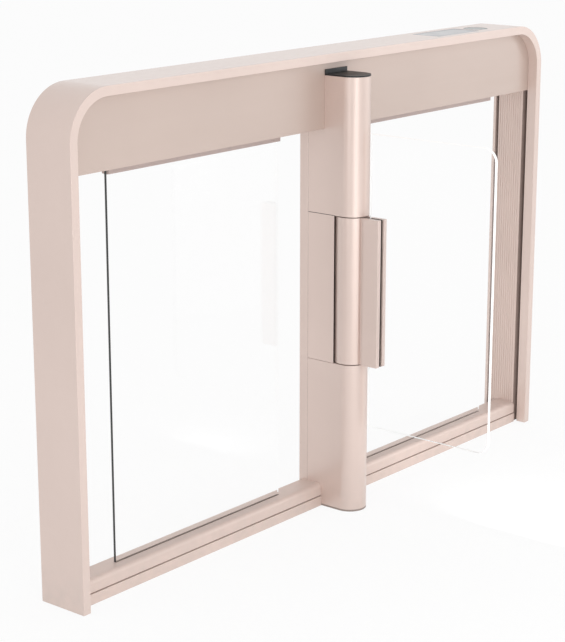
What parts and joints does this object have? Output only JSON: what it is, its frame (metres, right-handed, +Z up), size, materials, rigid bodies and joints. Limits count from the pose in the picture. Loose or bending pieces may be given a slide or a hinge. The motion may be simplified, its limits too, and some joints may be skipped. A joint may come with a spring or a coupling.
{
  "type": "swing barrier gate",
  "caption": "Arched free-standing swing barrier gate with glazed cabinet, central drive column and a clear leaf that swings both ways on a hub.",
  "frame": {"origin": "on the floor, in the middle of the cabinet, on the underside of the drive column's foot plate", "axes": "+X along the cabinet, -Y to the passage side where the leaf stands, +Z up"},
  "size_m": [1.568, 0.4975, 1],
  "materials": {
    "frame_finish": "satin anodised rose gold",
    "header_finish": "satin anodised rose gold",
    "liner_finish": "satin anodised rose gold, ribbed",
    "rail_finish": "satin anodised rose gold",
    "column_finish": "satin anodised rose gold",
    "hub_finish": "satin anodised rose gold",
    "black_trim": "matt black",
    "seal_rubber": "matt dark grey",
    "fixed_glass": "clear",
    "leaf_glass": "clear, polished edges",
    "shaft_steel": "turned",
    "reader_glass": "smoked grey, glossy",
    "lens_plastic": "grey translucent, glossy"
  },
  "bodies": {
    "cabinet": {"left_post": "frame_finish", "right_post": "frame_finish", "left_corner": "frame_finish", "right_corner": "frame_finish", "top_rail": "frame_finish", "left_liner": "liner_finish", "right_liner": "liner_finish", "header_front_panel": "header_finish", "header_beam": "header_finish", "header_rear_panel": "header_finish", "left_glass_holder": "header_finish", "right_glass_holder": "header_finish", "left_fixed_glass": "fixed_glass", "right_fixed_glass": "fixed_glass", "left_rail_base": "rail_finish", "right_rail_base": "rail_finish", "left_rail_cap": "rail_finish", "right_rail_cap": "rail_finish", "column_foot": "black_trim", "column_lower_housing": "column_finish", "column_upper_housing": "column_finish", "column_mid_frame": "column_finish", "column_rear_cover": "column_finish", "left_side_cover": "column_finish", "right_side_cover": "column_finish", "column_cap": "black_trim", "hub_shaft": "shaft_steel", "reader_window": "reader_glass", "indicator_lens": "lens_plastic"},
    "leaf": {"hub_drum": "hub_finish", "clamp_spacer": "seal_rubber", "left_jaw": "hub_finish", "right_jaw": "hub_finish", "left_jaw_pad": "seal_rubber", "right_jaw_pad": "seal_rubber", "swing_leaf": "leaf_glass"}
  },
  "joints": [
    {"name": "leaf_swing", "type": "hinge", "parent": "cabinet", "child": "leaf", "pos_m": [0.011, -0.081, 0.4955], "axis": [0, 0, 1], "range_deg": [-90, 90]}
  ]
}
